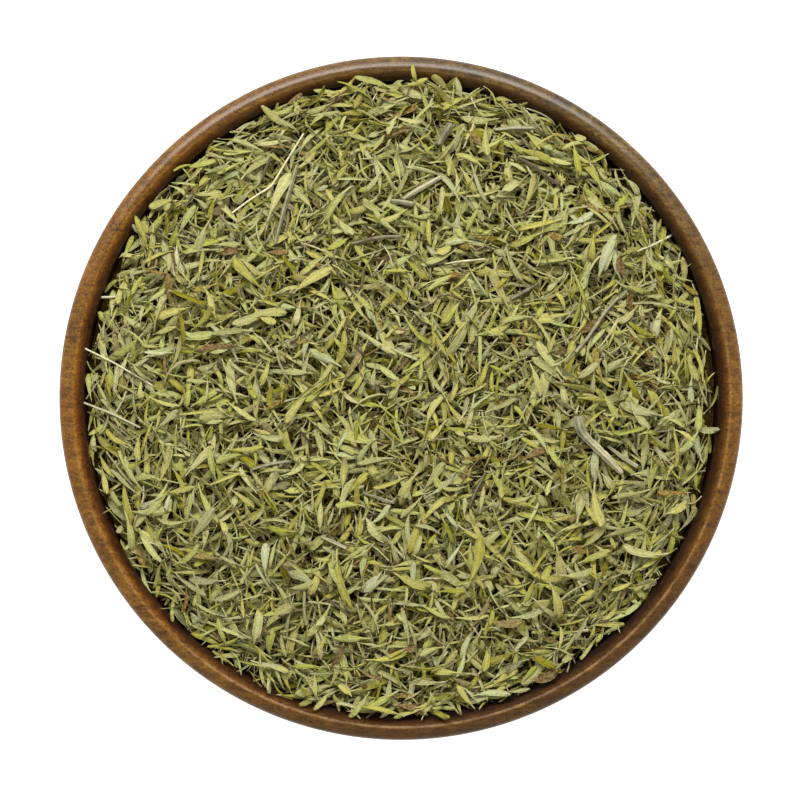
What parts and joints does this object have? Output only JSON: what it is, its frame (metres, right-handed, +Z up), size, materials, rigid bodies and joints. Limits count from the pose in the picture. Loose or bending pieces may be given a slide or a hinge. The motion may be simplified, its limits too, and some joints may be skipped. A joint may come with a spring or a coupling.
{
  "type": "bowl of dried thyme",
  "caption": "Small round turned wooden bowl filled almost to its rim with loose dried thyme leaves and a few bits of stem.",
  "frame": {"origin": "centre of the foot's underside, on the surface that the bowl stands on", "axes": "+Z up along the bowl's axis; +X to the right and +Y to the top of the picture, which looks straight down"},
  "size_m": [0.15, 0.15, 0.0522],
  "materials": {
    "stained_wood": "turned and stained hardwood under a thin satin lacquer",
    "dried_leaf": null,
    "straw": null,
    "grey_stem": "dry grey-brown woody stem with thin bark",
    "brown_stem": "dry dark brown woody stem with thin bark"
  },
  "bodies": {
    "root": {"bowl": "stained_wood", "thyme_heap": "dried_leaf", "straw_stem": "straw", "grey_twig_left": "grey_stem", "grey_twig_right": "grey_stem", "ribbed_stalk": "straw", "brown_twig": "brown_stem", "woody_twig": "straw", "silver_stem": "grey_stem"}
  },
  "joints": []
}
